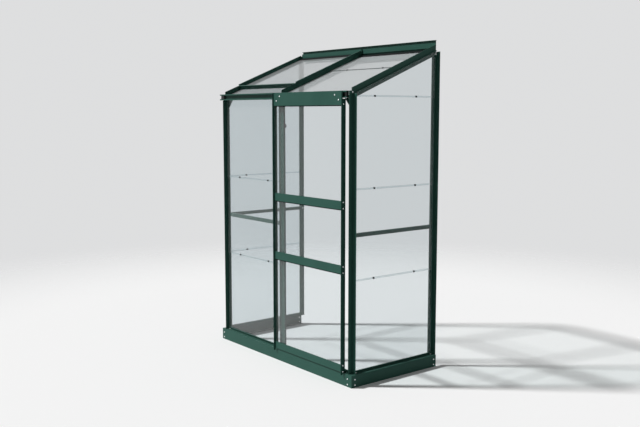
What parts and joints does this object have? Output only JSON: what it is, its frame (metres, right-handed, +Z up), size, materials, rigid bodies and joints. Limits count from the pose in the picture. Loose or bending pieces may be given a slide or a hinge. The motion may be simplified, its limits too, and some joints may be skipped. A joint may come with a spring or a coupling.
{
  "type": "lean-to glass greenhouse",
  "caption": "Small lean-to greenhouse that stands against a wall: green metal bars, lapped clear panes, a sliding front door and a vent in the sloping roof.",
  "frame": {"origin": "on the ground, at the middle of the overall footprint", "axes": "+Z up, +Y from the front to the wall that the house leans on, +X to the right along the front"},
  "size_m": [1.32, 0.676, 1.9055],
  "materials": {
    "green_paint": "dark green semi-gloss powder coat",
    "glass": "clear horticultural float glass",
    "roller_plastic": "black nylon"
  },
  "bodies": {
    "house": {"base_front": "green_paint", "base_left": "green_paint", "base_right": "green_paint", "base_corner_plates": "green_paint", "sill_front": "green_paint", "sill_left": "green_paint", "sill_right": "green_paint", "corner_post_left": "green_paint", "corner_post_right": "green_paint", "wall_post_left": "green_paint", "wall_post_right": "green_paint", "centre_post": "green_paint", "eave_beam": "green_paint", "ridge_bar": "green_paint", "rafter_left": "green_paint", "rafter_centre": "green_paint", "rafter_right": "green_paint", "front_rail": "green_paint", "side_rail_left": "green_paint", "side_rail_right": "green_paint", "eave_gussets": "green_paint", "gable_gussets": "green_paint", "front_glass": "glass", "left_glass": "glass", "right_glass": "glass", "roof_glass_left": "glass", "roof_glass_right": "glass", "vent_side_rails": "green_paint", "vent_bottom_rail": "green_paint", "vent_top_rail": "green_paint", "vent_glass": "glass"},
    "door": {"door_stile_left": "green_paint", "door_stile_right": "green_paint", "door_top_rail": "green_paint", "door_mid_rail_upper": "green_paint", "door_mid_rail_lower": "green_paint", "door_bottom_rail": "green_paint", "door_glass_top": "glass", "door_glass_middle": "glass", "door_glass_bottom": "glass", "door_rollers": "roller_plastic"}
  },
  "joints": [
    {"name": "door_slide", "type": "slide", "parent": "house", "child": "door", "axis": [-1, 0, 0], "range_m": [-0.03, 0.572]}
  ]
}
